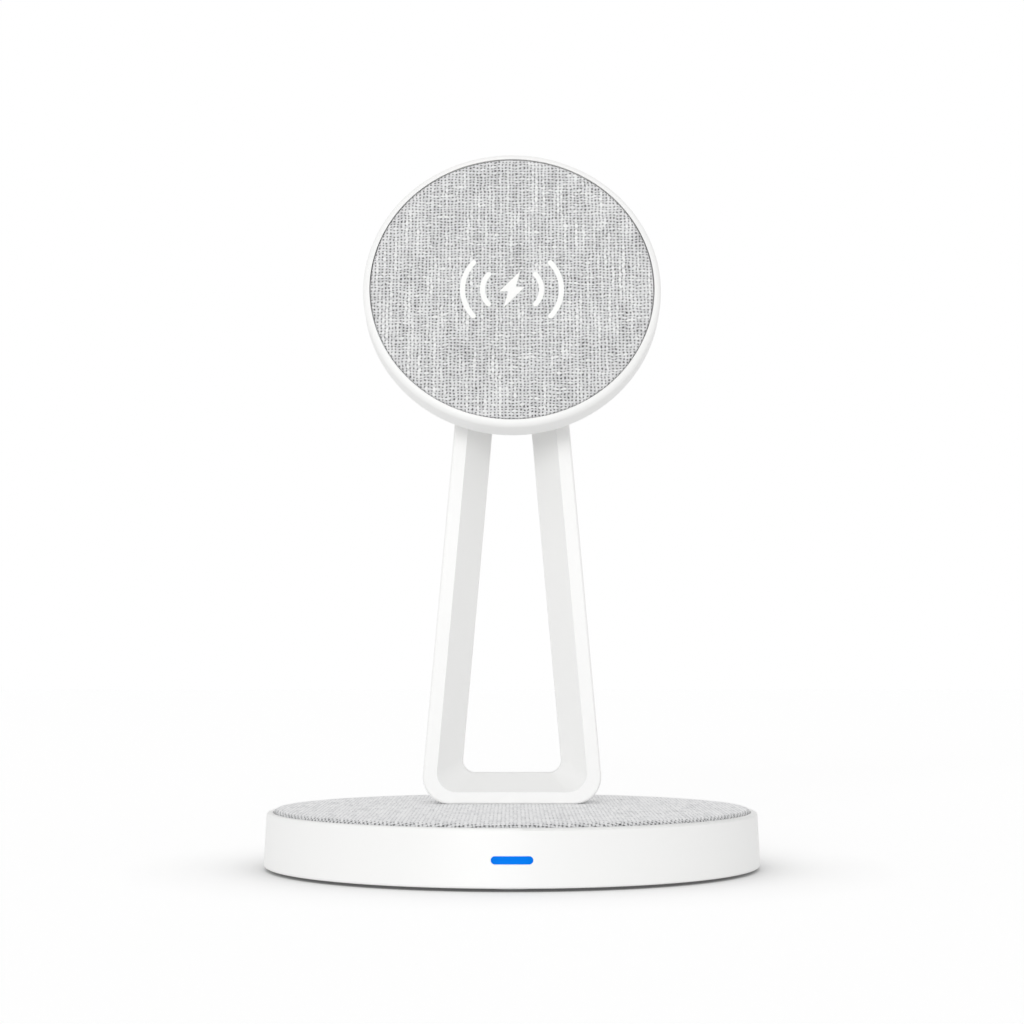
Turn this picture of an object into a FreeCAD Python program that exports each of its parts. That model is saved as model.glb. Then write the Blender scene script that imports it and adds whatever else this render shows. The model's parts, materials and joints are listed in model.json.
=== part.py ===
import FreeCAD
import Part
import math
import os

# Two-in-one wireless charging stand: a round fabric-topped base that charges an earbud case,
# a tapered loop stand, and a round magnetic phone head that tilts on a hinge at the stand's top.
# Millimetres. The origin is the middle of the table plane under the base, +Z is up, -Y is the front.

Vector = FreeCAD.Vector
X_AXIS = Vector(1, 0, 0)
Y_AXIS = Vector(0, 1, 0)
Z_AXIS = Vector(0, 0, 1)
REACH = 400.0  # longer than any piece, for cutting tools that pass right through

# Base housing
base_diameter = 100.0  # at the bottom edge
base_taper = 0.5  # how far the side leans in between the bottom edge and the rim
base_wall = 2.2
base_headroom = 0.44  # free height over the charging socket
foot_gap = 0.6  # the housing's bottom edge stands this far off the table
skirt_round = 0.45
rim_width = 1.3  # flat top of the wall round the pad
rim_round = 0.5
pad_recess = 0.7  # the rim stands this far above the deck
deck_thickness = 1.8
boss_radius = 3.2
boss_inset = 6.4  # from the wall's inner face to a boss's axis
boss_count = 4

# Bottom cover and feet
cover_thickness = 2.0
cover_inset = 0.3  # the cover sits this far inside the bottom edge
foot_radius = 4.0
foot_pocket = 0.8
foot_rim = 1.6  # from the edge of a foot to the edge of the cover
foot_count = 4

# Pad on the base
pad_board_thickness = 0.85
fabric_thickness = 0.6
fabric_round = 0.9  # turned edge of the pad
pad_gap = 0.12  # round the pad, inside the rim

# Charging parts in the base
base_coil_radius = 16.0
base_coil_bore = 6.0
base_coil_thickness = 1.4
base_coil_setback = 13.0  # coil's centre in front of the base's axis
ferrite_thickness = 0.8
ferrite_margin = 1.5
counterweight_gap = 0.4  # under the ferrite sheet
counterweight_margin = 1.2  # to the bosses
board_standoff = 1.0
board_thickness = 1.2
board_margin = 3.2  # from the board's edge to the wall
post_radius = 2.1
chip_height = 1.4

# Charging socket at the back and light bar at the front
socket_width = 8.94
socket_height = 3.26
socket_length = 7.35
socket_shell = 0.3
socket_recess = 0.6  # the mouth sits this far inside the housing's side
socket_gap = 0.2
tongue_width = 6.7
tongue_thickness = 0.7
tongue_length = 5.0
light_width = 7.55
light_height = 1.38
light_level = 5.64  # middle of the light bar above the table
light_gap = 0.05
light_depth = 3.4  # from the housing's side to the light bar's inner end
light_chip_depth = 0.8
light_chip_width = 3.0
light_chip_height = 1.2
light_board_width = 13.0
light_board_height = 5.0

# Loop stand
stand_setback = 8.5  # front face behind the base's axis
stand_depth = 13.0
stand_foot_width = 38.4  # outside, where the legs would meet the deck
stand_hinge_width = 20.1  # outside, at the hinge axis
stand_foot_round = 5.6
stand_top_round = 3.0
stand_edge_round = 0.5
leg_width = 7.85  # behind the bevel
leg_front_width = 2.9  # flat front band
bar_height = 7.5  # foot bar behind the bevel, above the deck
bar_front_height = 3.9  # flat front band of the foot bar, above the deck
bevel_depth = 7.0
opening_front_round = 4.0
opening_round = 2.6
opening_top_drop = 13.5  # top of the opening below the hinge axis
opening_top_bevel = 3.0
stand_wall = 1.6
stand_cover_thickness = 2.2
stand_cover_drop = 9.0  # top of the rear cover below the hinge axis
seam_step = 0.15
tenon_width = 27.0  # block that passes through the pad
tenon_wall = 0.9  # beside the lead's hole in it
tenon_inset = 1.5  # behind the stand's front face
foot_hole_gap = 0.35  # round the stand where it passes through the pad
channel_start = 8.0  # bottom of the hollow in each leg, above the deck
channel_width = 3.0

# Hinge
hinge_height = 114.3  # axis above the table
head_tilt = 14.0  # degrees back from upright
knuckle_width = 6.0
knuckle_inset = 0.7  # the barrel is this much smaller than the stand's round top
washer_thickness = 0.4
washer_play = 0.05
washer_rim = 2.4
pin_wall = 1.1
pin_gap = 0.05  # running clearance in the barrel
pin_end_play = 0.1
cap_thickness = 0.8
cap_recess = 0.4
neck_height = 8.4
flange_radius = 11.0
flange_thickness = 2.2
flange_clearance = 0.7  # between the stand's round top and the flange

# Leads
lead_diameter = 1.6
lead_gap = 0.25
lead_outset = 2.4  # from the stand's side to the lead at the hinge
lead_leg_outset = 3.2  # from the stand's side to the lead at the foot of the leg
lead_leg_height = 13.0  # where the lead joins the leg, above the deck
lead_rise = 3.4  # height above the deck where the lead leaves the foot hole
lead_join = 3.6  # where the two leads meet on the hinge axis, left of the middle
plug_height = 2.4
plug_width = 4.0
plug_length = 5.0

# Phone head
head_diameter = 61.6
head_wall = 2.2
head_rear_wall = 1.8
head_rear_round = 3.8
head_front_round = 1.3
bezel_width = 1.4
bezel_lip = 0.05  # the bezel stands this far above the fabric
face_gap = 0.12  # round the face plate and its fabric
face_plate_thickness = 1.0
face_edge_round = 0.35
head_coil_thickness = 1.3
head_coil_bore = 9.0
head_coil_gap = 0.8
magnet_width = 3.9
magnet_thickness = 2.4
magnet_wall_gap = 0.4
magnet_count = 18
magnet_slit = 1.6  # degrees between neighbouring magnets
yoke_thickness = 0.5
head_board_radius = 16.0
head_board_thickness = 0.8
head_board_gap = 0.6  # between the board and the ferrite sheet
head_post_height = 1.6
head_post_radius = 1.8
head_post_circle = 13.0
head_post_count = 3

# Screws: shank radius, head radius and head height, with the play of a through hole
screw_shank = 0.95
screw_head = 1.9
screw_head_height = 1.0
screw_play = 0.2
pilot_play = 0.05
screw_slot_width = 0.5
screw_slot_depth = 0.5
cover_screw_length = 5.5
stand_screw_length = 6.4
stand_screw_inset = 4.4  # from the outer side of the lead's hole to a screw
board_screw_length = 3.0
arm_screw_length = 3.4
arm_screw_circle = 7.6
arm_screw_count = 4

# Levels, from the table up
cover_level = foot_gap + cover_inset
floor_level = cover_level + cover_thickness
board_level = floor_level + board_standoff
board_top = board_level + board_thickness
socket_level = board_top + socket_height / 2
ceiling_level = board_top + socket_height + base_headroom
deck_level = ceiling_level + deck_thickness
rim_level = deck_level + pad_recess
pad_level = deck_level + pad_board_thickness + fabric_thickness

# Radii of the base
base_radius = base_diameter / 2
rim_radius = base_radius - base_taper
inner_radius = base_radius - base_wall
recess_radius = rim_radius - rim_width
pad_radius = recess_radius - pad_gap
boss_circle = inner_radius - base_taper - boss_inset
cover_radius = inner_radius - base_taper - pad_gap
foot_circle = cover_radius - foot_rim - foot_radius
board_radius = inner_radius - board_margin

# The stand, in X and Z with heights from the deck
stand_back = stand_setback + stand_depth
hinge_depth = stand_setback + stand_depth / 2
hinge_rise = hinge_height - deck_level
stand_lean = (stand_foot_width - stand_hinge_width) / 2 / hinge_rise
cover_split = stand_back - stand_cover_thickness
cover_top_rise = hinge_rise - stand_cover_drop
opening_top_rise = hinge_rise - opening_top_drop
ear_inner = knuckle_width / 2 + washer_thickness + 2 * washer_play
tenon_half = tenon_width / 2
lead_hole_side = tenon_half - tenon_wall
tenon_front = stand_setback + tenon_inset
loop_rise = pad_level - deck_level
channel_floor = hinge_depth - lead_diameter / 2 - 2 * lead_gap

# The hinge and the phone head, along the head's own axis from the hinge axis
lead_radius = lead_diameter / 2
pin_bore = lead_radius + lead_gap
pin_radius = pin_bore + pin_wall
knuckle_radius = stand_depth / 2 - knuckle_inset
flange_back = stand_depth / 2 + flange_clearance
head_back = flange_back + flange_thickness
head_floor = head_back + head_rear_wall
head_board_back = head_floor + head_post_height
head_board_front = head_board_back + head_board_thickness
head_ferrite_back = head_board_front + head_board_gap
head_coil_back = head_ferrite_back + ferrite_thickness
face_plate_back = head_coil_back + head_coil_thickness
face_plate_front = face_plate_back + face_plate_thickness
fabric_front = face_plate_front + fabric_thickness
bezel_front = fabric_front + bezel_lip
head_radius = head_diameter / 2
face_hole_radius = head_radius - bezel_width
face_radius = face_hole_radius - face_gap
head_inner_radius = head_radius - head_wall
magnet_outer = head_inner_radius - magnet_wall_gap
magnet_inner = magnet_outer - magnet_width
head_coil_radius = magnet_inner - head_coil_gap
head_placement = FreeCAD.Placement(
    Vector(0, hinge_depth, hinge_height), FreeCAD.Rotation(X_AXIS, 90 - head_tilt)
)


def rounded_face(points, radii):
    """A flat face with straight sides between the points and an arc of its own radius at each corner."""
    tangents, arcs = [], []
    for i, corner in enumerate(points):
        back = (points[i - 1] - corner).normalize()
        ahead = (points[(i + 1) % len(points)] - corner).normalize()
        if radii[i] == 0:
            tangents.append((corner, corner))
            arcs.append(None)
            continue
        half_angle = back.getAngle(ahead) / 2
        run = radii[i] / math.tan(half_angle)
        inward = (back + ahead).normalize()
        middle = corner + inward * (radii[i] / math.sin(half_angle) - radii[i])
        start, end = corner + back * run, corner + ahead * run
        tangents.append((start, end))
        arcs.append(Part.Arc(start, middle, end).toShape())
    edges = []
    for i, arc in enumerate(arcs):
        if arc:
            edges.append(arc)
        start, end = tangents[i][1], tangents[(i + 1) % len(points)][0]
        edges.append(Part.LineSegment(start, end).toShape())
    return Part.Face(Part.Wire(edges))


def turned(profile):
    """A solid of revolution about Z from (radius, height, corner radius) rows."""
    points = [Vector(r, 0, z) for r, z, _ in profile]
    face = rounded_face(points, [corner for _, _, corner in profile])
    return face.revolve(Vector(), Z_AXIS, 360)


def ring(outer, inner, low, high):
    """A plain ring about Z."""
    return turned([(inner, low, 0), (outer, low, 0), (outer, high, 0), (inner, high, 0)])


def disc(radius, low, high, x=0.0, y=0.0):
    """A plain cylinder along Z."""
    return Part.makeCylinder(radius, high - low, Vector(x, y, low))


def box(x_low, x_high, y_low, y_high, z_low, z_high):
    """A box between two corners."""
    return Part.makeBox(x_high - x_low, y_high - y_low, z_high - z_low, Vector(x_low, y_low, z_low))


def around(count, radius, start_deg):
    """Points evenly spaced on a circle about Z."""
    angles = [math.radians(start_deg + 360.0 * i / count) for i in range(count)]
    return [(radius * math.cos(a), radius * math.sin(a)) for a in angles]


def capsule(width, height, level, y_low, y_high, grow=0.0):
    """A bar along Y with a section of the given width and height and fully round ends."""
    half_w, half_h = width / 2 + grow, height / 2 + grow
    corners = [(-half_w, -half_h), (half_w, -half_h), (half_w, half_h), (-half_w, half_h)]
    points = [Vector(x, y_low, level + z) for x, z in corners]
    return rounded_face(points, [half_h * 0.98] * 4).extrude(Y_AXIS * (y_high - y_low))


def tube(points, radius):
    """A round tube along straight runs that are joined by arcs as large as the runs allow."""
    edges, start = [], points[0]
    for before, corner, after in zip(points, points[1:], points[2:]):
        back, ahead = before - corner, after - corner
        half_turn = (math.pi - back.getAngle(ahead)) / 2
        run = 0.45 * min(back.Length, ahead.Length)
        bend = run / math.tan(half_turn)
        into, out = corner + back.normalize() * run, corner + ahead.normalize() * run
        inward = (back + ahead).normalize()
        middle = corner + inward * (bend / math.cos(half_turn) - bend)
        edges += [Part.LineSegment(start, into).toShape(), Part.Arc(into, middle, out).toShape()]
        start = out
        print(f"lead bend radius {bend:.2f} mm")
    edges.append(Part.LineSegment(start, points[-1]).toShape())
    path = Part.Wire(edges)
    section = Part.Wire([Part.Circle(points[0], points[1] - points[0], radius).toShape()])
    return path.makePipeShell([section], True, True)


def screw(length):
    """A pan-head screw that points up from its seat at the origin, with a crossed slot in its head."""
    body = disc(screw_shank, 0, length).fuse(disc(screw_head, -screw_head_height, 0))
    slot_reach = screw_head * 0.65
    half = screw_slot_width / 2
    low = -screw_head_height
    cross = box(-slot_reach, slot_reach, -half, half, low, low + screw_slot_depth)
    cross = cross.fuse(box(-half, half, -slot_reach, slot_reach, low, low + screw_slot_depth))
    return body.cut(cross).removeSplitter()


def screws_at(places, length, seat, upward=True):
    """A group of separate screws with their heads seated at one level."""
    group = []
    for x, y in places:
        one = screw(length)
        if not upward:
            one.rotate(Vector(), X_AXIS, 180)
        one.translate(Vector(x, y, seat))
        group.append(one)
    return Part.makeCompound(group)


def on_head(shape):
    """Sets a piece from the head's own axes, which start at the hinge axis, into the part's frame."""
    shape.Placement = head_placement.multiply(shape.Placement)
    return shape


# Where things repeat
boss_places = around(boss_count, boss_circle, 45)
foot_places = around(foot_count, foot_circle, -90)
board_post_y = board_radius * 0.72
board_post_places = [(-board_radius * 0.36, board_post_y), (board_radius * 0.36, board_post_y)]
board_post_places.append((lead_hole_side, stand_setback - screw_head))
arm_screw_places = around(arm_screw_count, arm_screw_circle, 45)
head_post_places = around(head_post_count, head_post_circle, 90)
stand_screw_x = lead_hole_side - stand_screw_inset
stand_screw_places = [(-stand_screw_x, hinge_depth), (stand_screw_x, hinge_depth)]
lead_foot_x = -(lead_hole_side - lead_radius - lead_gap)


def base_outside():
    """The housing's outer form, without its hollow."""
    return turned([
        (0, foot_gap, 0),
        (base_radius, foot_gap, skirt_round),
        (rim_radius, rim_level, rim_round),
        (0, rim_level, 0),
    ])


def base_housing():
    """Round side wall with the deck under the pad, screw bosses, light slot and socket hole."""
    shell = base_outside()
    shell = shell.cut(disc(recess_radius, deck_level, rim_level + 1))
    shell = shell.cut(turned([
        (0, 0, 0),
        (inner_radius, 0, 0),
        (inner_radius - base_taper, ceiling_level, 0),
        (0, ceiling_level, 0),
    ]))
    for x, y in boss_places:
        boss = disc(boss_radius, floor_level, ceiling_level + deck_thickness / 2, x, y)
        pilot_top = floor_level + cover_screw_length
        shell = shell.fuse(boss).cut(disc(screw_shank + pilot_play, 0, pilot_top, x, y))
    shell = shell.cut(capsule(light_width, light_height, light_level, -REACH, 0, light_gap))
    shell = shell.cut(capsule(socket_width, socket_height, socket_level, 0, REACH, socket_gap))
    for x, y in stand_screw_places:
        shell = shell.cut(disc(screw_shank + screw_play, 0, REACH, x, y))
    shell = shell.cut(disc(lead_radius + lead_gap, 0, REACH, lead_foot_x, hinge_depth))
    return shell.removeSplitter()


def base_bottom_cover():
    """Round plate with pockets for the feet, screw holes and the posts of the circuit board."""
    plate = disc(cover_radius, cover_level, floor_level)
    for x, y in board_post_places:
        post = disc(post_radius, floor_level - cover_thickness / 2, board_level, x, y)
        pilot_low = board_top - board_screw_length
        plate = plate.fuse(post).cut(disc(screw_shank + pilot_play, pilot_low, REACH, x, y))
    for x, y in foot_places:
        plate = plate.cut(disc(foot_radius + pad_gap, 0, cover_level + foot_pocket, x, y))
    seat = cover_level + screw_head_height + screw_play
    for x, y in boss_places:
        plate = plate.cut(disc(screw_shank + screw_play, 0, REACH, x, y))
        plate = plate.cut(disc(screw_head + screw_play, 0, seat, x, y))
    return plate.removeSplitter()


def foot_pads():
    """Round silicone feet, each with a rounded lower edge."""
    pads = []
    for x, y in foot_places:
        pad = turned([
            (0, 0, 0),
            (foot_radius, 0, foot_gap / 3),
            (foot_radius, cover_level + foot_pocket, 0),
            (0, cover_level + foot_pocket, 0),
        ])
        pad.translate(Vector(x, y, 0))
        pads.append(pad)
    return Part.makeCompound(pads)


def pad_cutout(grow):
    """The hole that the stand's tenon passes through in the pad and its fabric."""
    half_width = tenon_half + grow
    return box(-half_width, half_width, tenon_front - grow, cover_split + grow, 0, REACH)


def base_pad_board():
    """Stiff disc under the pad's fabric, rounded where the fabric goes over its edge."""
    radius = pad_radius - fabric_thickness - pad_gap
    top = deck_level + pad_board_thickness
    board = turned([
        (0, deck_level, 0),
        (radius, deck_level, 0),
        (radius, top, fabric_round - fabric_thickness),
        (0, top, 0),
    ])
    return board.cut(pad_cutout(foot_hole_gap + pad_gap))


def base_fabric():
    """Fabric over the pad board, turned down round its edge."""
    inner = pad_radius - fabric_thickness
    under = deck_level + pad_board_thickness
    skin = turned([
        (0, under, 0),
        (inner, under, fabric_round - fabric_thickness),
        (inner, deck_level, 0),
        (pad_radius, deck_level, 0),
        (pad_radius, pad_level, fabric_round),
        (0, pad_level, 0),
    ])
    return skin.cut(pad_cutout(foot_hole_gap))


def base_coil():
    """Flat wound coil of the earbud charger, against the deck."""
    coil = ring(base_coil_radius, base_coil_bore, ceiling_level - base_coil_thickness, ceiling_level)
    coil.translate(Y_AXIS * -base_coil_setback)
    return coil


def base_ferrite():
    """Ferrite sheet behind the earbud coil."""
    top = ceiling_level - base_coil_thickness
    radius = base_coil_radius + ferrite_margin
    return disc(radius, top - ferrite_thickness, top, 0, -base_coil_setback)


def counterweight():
    """Half-moon steel plate on the bottom cover, in front of the circuit board."""
    radius = boss_circle - boss_radius - counterweight_margin
    top = ceiling_level - base_coil_thickness - ferrite_thickness - counterweight_gap
    plate = disc(radius, floor_level, top)
    return plate.cut(box(-REACH, REACH, 0, REACH, 0, REACH))


def main_board():
    """Circuit board behind the counterweight, notched round the housing's bosses."""
    board = disc(board_radius, board_level, board_top)
    front = stand_setback - screw_head - 2 * post_radius
    board = board.cut(box(-REACH, REACH, -REACH, front, 0, REACH))
    for x, y in boss_places:
        board = board.cut(disc(boss_radius + counterweight_margin, 0, REACH, x, y))
    for x, y in board_post_places:
        board = board.cut(disc(screw_shank + screw_play, 0, REACH, x, y))
    return board


def board_components():
    """Controller, power coils and capacitors on the circuit board, as separate solids."""
    chip = chip_height
    row = stand_back + chip
    parts = [box(-2 * chip, 2 * chip, row, row + 4 * chip, board_top, board_top + chip)]
    for side in (-1, 1):
        x = side * 6 * chip
        parts.append(disc(1.8 * chip, board_top, board_top + 1.4 * chip, x, row + 2 * chip))
        for i in range(3):
            x = side * (4 + 2 * i) * chip
            y = stand_setback + chip
            parts.append(box(x - chip / 2, x + chip / 2, y, y + chip, board_top, board_top + chip))
    return Part.makeCompound(parts)


def socket_mouth():
    """Y of the charging socket's open end."""
    return base_radius - base_taper - socket_recess


def usb_socket():
    """Metal shell of the charging socket, open at the back of the base."""
    mouth = socket_mouth()
    shell = capsule(socket_width, socket_height, socket_level, mouth - socket_length, mouth)
    floor = mouth - socket_length + socket_shell
    return shell.cut(capsule(socket_width, socket_height, socket_level, floor, REACH, -socket_shell))


def usb_tongue():
    """Insulating tongue that carries the contacts inside the charging socket."""
    floor = socket_mouth() - socket_length + socket_shell
    half_w, half_t = tongue_width / 2, tongue_thickness / 2
    low, high = socket_level - half_t, socket_level + half_t
    return box(-half_w, half_w, floor, floor + tongue_length, low, high)


def light_bar():
    """Clear bar that carries the light through the front of the housing, flush with its side."""
    bar = capsule(light_width, light_height, light_level, -REACH, light_depth - rim_radius)
    return bar.common(base_outside())


def light_chip():
    """Light-emitting chip behind the bar."""
    y = light_depth - rim_radius + light_gap
    half_w, half_h = light_chip_width / 2, light_chip_height / 2
    low, high = light_level - half_h, light_level + half_h
    return box(-half_w, half_w, y, y + light_chip_depth, low, high)


def light_board():
    """Small upright circuit board that carries the light chip and stands on the bottom cover."""
    y = light_depth - rim_radius + light_gap + light_chip_depth
    half_w = light_board_width / 2
    return box(-half_w, half_w, y, y + board_thickness, floor_level, floor_level + light_board_height)


def cover_screws():
    """Screws that hold the bottom cover to the housing's bosses."""
    seat = cover_level + screw_head_height + screw_play
    return screws_at(boss_places, cover_screw_length - pilot_play, seat)


def board_screws():
    """Screws that hold the circuit board to the bottom cover's posts."""
    return screws_at(board_post_places, board_screw_length - pilot_play, board_top, upward=False)


def stand_screws():
    """Screws that hold the stand's foot to the deck, from inside the base."""
    return screws_at(stand_screw_places, stand_screw_length, ceiling_level)


def stand_half_width(rise):
    """Half of the stand's outside width at a height above the deck."""
    return stand_foot_width / 2 - stand_lean * rise


def stand_face(y, inset, bottom, top, bottom_round, top_round):
    """A tapered outline in a plane across Y, inset from the stand's sides, with rounded corners."""
    low, high = stand_half_width(bottom) - inset, stand_half_width(top) - inset
    corners = [(-low, bottom), (low, bottom), (high, top), (-high, top)]
    points = [Vector(x, y, deck_level + z) for x, z in corners]
    top_round = min(top_round, 0.9 * high)
    return rounded_face(points, [bottom_round, bottom_round, top_round, top_round])


def opening_face(share, y):
    """The opening's outline, from the front band at share 0 to the narrow part behind the bevel at 1."""
    def between(front, back):
        return front + (back - front) * share

    return stand_face(
        y,
        between(leg_front_width, leg_width),
        between(bar_front_height, bar_height),
        between(opening_top_rise + opening_top_bevel, opening_top_rise),
        between(opening_front_round, opening_round),
        between(opening_front_round, opening_round),
    )


def stand_opening():
    """Cutting tool for the loop's opening: a bevel at the front and a straight hole behind it."""
    lead_in = -0.2  # the bevel's slope carried a little way out of the front face
    front = opening_face(lead_in, stand_setback + lead_in * bevel_depth)
    throat = opening_face(1, stand_setback + bevel_depth)
    bevel = Part.makeLoft([front.OuterWire, throat.OuterWire], True, True)
    return bevel.fuse(throat.extrude(Y_AXIS * stand_depth))


def edges_across(shape, y):
    """The edges of a shape that lie in the plane across Y."""
    bounds = [(edge, edge.BoundBox) for edge in shape.Edges]
    return [e for e, b in bounds if abs(b.YMin - y) < 1e-6 and abs(b.YMax - y) < 1e-6]


def stand_body(inset, y_low, y_high, rounded):
    """The stand's outside, tapered from the front and round at the top from the side."""
    top = hinge_rise + stand_depth / 2 + stand_top_round / 2
    outline = stand_face(y_low, inset, loop_rise, top, stand_foot_round, stand_top_round)
    prism = outline.extrude(Y_AXIS * (y_high - y_low))
    edges = [edge for y in rounded for edge in edges_across(prism, y)]
    prism = prism.makeFillet(stand_edge_round, edges)
    low = deck_level - stand_foot_round
    crown = Part.Arc(
        Vector(-REACH, stand_back, hinge_height),
        Vector(-REACH, hinge_depth, hinge_height + stand_depth / 2),
        Vector(-REACH, stand_setback, hinge_height),
    )
    front, back = (stand_setback, hinge_height), (stand_back, hinge_height)
    corners = [front, (stand_setback, low), (stand_back, low), back]
    points = [Vector(-REACH, y, z) for y, z in corners]
    sides = [Part.LineSegment(a, b).toShape() for a, b in zip(points, points[1:])]
    profile = Part.Face(Part.Wire([crown.toShape()] + sides))
    return prism.common(profile.extrude(X_AXIS * 2 * REACH)).cut(stand_opening())


def leg_channel(side):
    """The hollow moulded into the back of one leg."""
    top = opening_top_rise
    inner = stand_wall + channel_width
    rows = [(channel_start, stand_wall), (channel_start, inner), (top, inner), (top, stand_wall)]
    points = [Vector(side * (stand_half_width(z) - o), channel_floor, deck_level + z) for z, o in rows]
    return rounded_face(points, [stand_wall / 2] * 4).extrude(Y_AXIS * REACH)


def lead_route():
    """The stand lead's points, from the circuit board up the left leg to the hinge axis."""
    def at(x, z):
        return Vector(x, hinge_depth, z)

    leg_x = lead_leg_outset - stand_half_width(lead_leg_height)
    ear_x = lead_outset - stand_hinge_width / 2
    return [
        at(lead_foot_x, board_top + plug_height),
        at(lead_foot_x, deck_level + lead_rise),
        at(leg_x, deck_level + lead_leg_height),
        at(ear_x, hinge_height),
        at(-lead_join, hinge_height),
    ]


def slot_between(start, end, half_width):
    """A round-ended slot between two points in a plane across Y, open towards the back."""
    along = end - start
    across = Vector(along.z, 0, -along.x).normalize() * half_width
    points = [start + across, end + across, end - across, start - across]
    points = [Vector(p.x, channel_floor, p.z) for p in points]
    slot = rounded_face(points, [0] * 4).extrude(Y_AXIS * REACH)
    for point in (start, end):
        centre = Vector(point.x, channel_floor, point.z)
        slot = slot.fuse(Part.makeCylinder(half_width, REACH, centre, Y_AXIS))
    return slot


def stand_front_shell():
    """The loop itself: bevelled front, foot bar with a tenon, hollow legs and the two ears of the hinge."""
    shell = stand_body(0, stand_setback, stand_back, (stand_setback, stand_back))
    cover_top = deck_level + cover_top_rise
    shell = shell.cut(box(-REACH, REACH, cover_split, REACH, 0, cover_top))
    tenon_top = deck_level + bar_front_height
    shell = shell.fuse(box(-tenon_half, tenon_half, tenon_front, cover_split, deck_level, tenon_top))
    slot_floor = hinge_height - stand_depth / 2
    shell = shell.cut(box(-ear_inner, ear_inner, 0, REACH, slot_floor, REACH))
    route = lead_route()
    hollows = [leg_channel(-1), leg_channel(1)]
    wire_room = lead_radius + lead_gap
    hollows.append(slot_between(route[1], route[2], wire_room + lead_gap))
    up_leg = route[3] - route[2]
    hollows.append(Part.makeCylinder(wire_room, up_leg.Length + wire_room, route[2], up_leg))
    hollows.append(Part.makeCylinder(wire_room, -route[3].x, route[3], X_AXIS))
    hollows.append(Part.makeCylinder(wire_room, REACH, route[1] - Z_AXIS * REACH, Z_AXIS))
    pin_left = Vector(pin_start() - pin_end_play, hinge_depth, hinge_height)
    hollows.append(Part.makeCylinder(pin_radius, REACH, pin_left, X_AXIS))
    pilot = screw_shank + pilot_play
    for x, y in stand_screw_places:
        hollows.append(disc(pilot, deck_level - 1, ceiling_level + stand_screw_length, x, y))
    for hollow in hollows:
        shell = shell.cut(hollow)
    return shell.removeSplitter()


def stand_rear_cover():
    """Flat cover over the hollow legs and the foot bar, a hair inside the loop's outline."""
    cover = stand_body(seam_step, cover_split, stand_back, (stand_back,))
    cover_top = deck_level + cover_top_rise - seam_step
    return cover.cut(box(-REACH, REACH, 0, REACH, cover_top, REACH)).removeSplitter()


def pin_start():
    """X of the hinge pin's left end, just past the bend of the lead."""
    return lead_outset - stand_hinge_width / 2 + lead_diameter


def pin_end():
    """X of the hinge pin's right end, under its cap."""
    return stand_hinge_width / 2 - cap_recess - cap_thickness - pin_end_play


def hinge_pin():
    """Hollow pin through both ears, with a window for the lead inside the barrel."""
    start = Vector(pin_start(), 0, 0)
    length = pin_end() - pin_start()
    pin = Part.makeCylinder(pin_radius, length, start, X_AXIS)
    pin = pin.cut(Part.makeCylinder(pin_bore, length, start, X_AXIS))
    window = box(-lead_diameter * 1.5, lead_diameter, -REACH, REACH, 0, REACH)
    window = window.common(box(-REACH, REACH, -pin_radius, pin_radius, 0, REACH))
    return on_head(pin.cut(window))


def hinge_washers():
    """Friction washers on the pin, one each side of the barrel."""
    washers = []
    for side in (-1, 1):
        washer = ring(pin_radius + washer_rim, pin_radius + pin_gap, 0, washer_thickness)
        washer.rotate(Vector(), Y_AXIS, 90)
        middle = knuckle_width / 2 + washer_play + washer_thickness / 2
        washer.translate(Vector(side * middle - washer_thickness / 2, hinge_depth, hinge_height))
        washers.append(washer)
    return Part.makeCompound(washers)


def hinge_cap():
    """Plug that closes the pin's hole in the right ear."""
    start = Vector(pin_end() + pin_end_play, hinge_depth, hinge_height)
    return Part.makeCylinder(pin_radius, cap_thickness, start, X_AXIS)


def stand_lead():
    """Lead from the circuit board up the left leg and into the hinge pin."""
    return tube(lead_route(), lead_radius)


def lead_plug():
    """Plug that joins the stand lead to the circuit board."""
    half_w, half_l = plug_width / 2, plug_length / 2
    low, high = board_top, board_top + plug_height
    x, y = lead_foot_x, hinge_depth
    return box(x - half_w, x + half_w, y - half_l, y + half_l, low, high)


def hinge_arm():
    """Barrel, neck and round flange that carry the head on the hinge pin."""
    half = knuckle_width / 2
    barrel = Part.makeCylinder(knuckle_radius, knuckle_width, Vector(-half, 0, 0), X_AXIS)
    neck = box(-half, half, -neck_height / 2, neck_height / 2, 0, head_back)
    flange = turned([
        (0, flange_back, 0),
        (flange_radius, flange_back, flange_thickness / 3),
        (flange_radius, head_back, 0),
        (0, head_back, 0),
    ])
    arm = barrel.fuse(neck).fuse(flange)
    pin_room = Part.makeCylinder(pin_radius + pin_gap, REACH, Vector(-REACH / 2, 0, 0), X_AXIS)
    arm = arm.cut(pin_room).cut(disc(lead_radius + lead_gap, 0, REACH))
    for x, y in arm_screw_places:
        blind = head_floor - arm_screw_length
        arm = arm.cut(disc(screw_shank + pilot_play, blind, REACH, x, y))
    return on_head(arm.removeSplitter())


def head_housing():
    """Round cup of the head: side wall, bezel, rear wall and the posts of its board."""
    cup = turned([
        (0, head_back, 0),
        (head_radius, head_back, head_rear_round),
        (head_radius, bezel_front, head_front_round),
        (face_hole_radius, bezel_front, 0),
        (face_hole_radius, face_plate_back, 0),
        (head_inner_radius, face_plate_back, 0),
        (head_inner_radius, head_floor, head_rear_wall / 2),
        (0, head_floor, 0),
    ])
    for x, y in head_post_places:
        cup = cup.fuse(disc(head_post_radius, head_floor - head_rear_wall / 2, head_board_back, x, y))
    for x, y in arm_screw_places:
        cup = cup.cut(disc(screw_shank + screw_play, 0, REACH, x, y))
    cup = cup.cut(disc(lead_radius + lead_gap, 0, REACH))
    return on_head(cup.removeSplitter())


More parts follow.
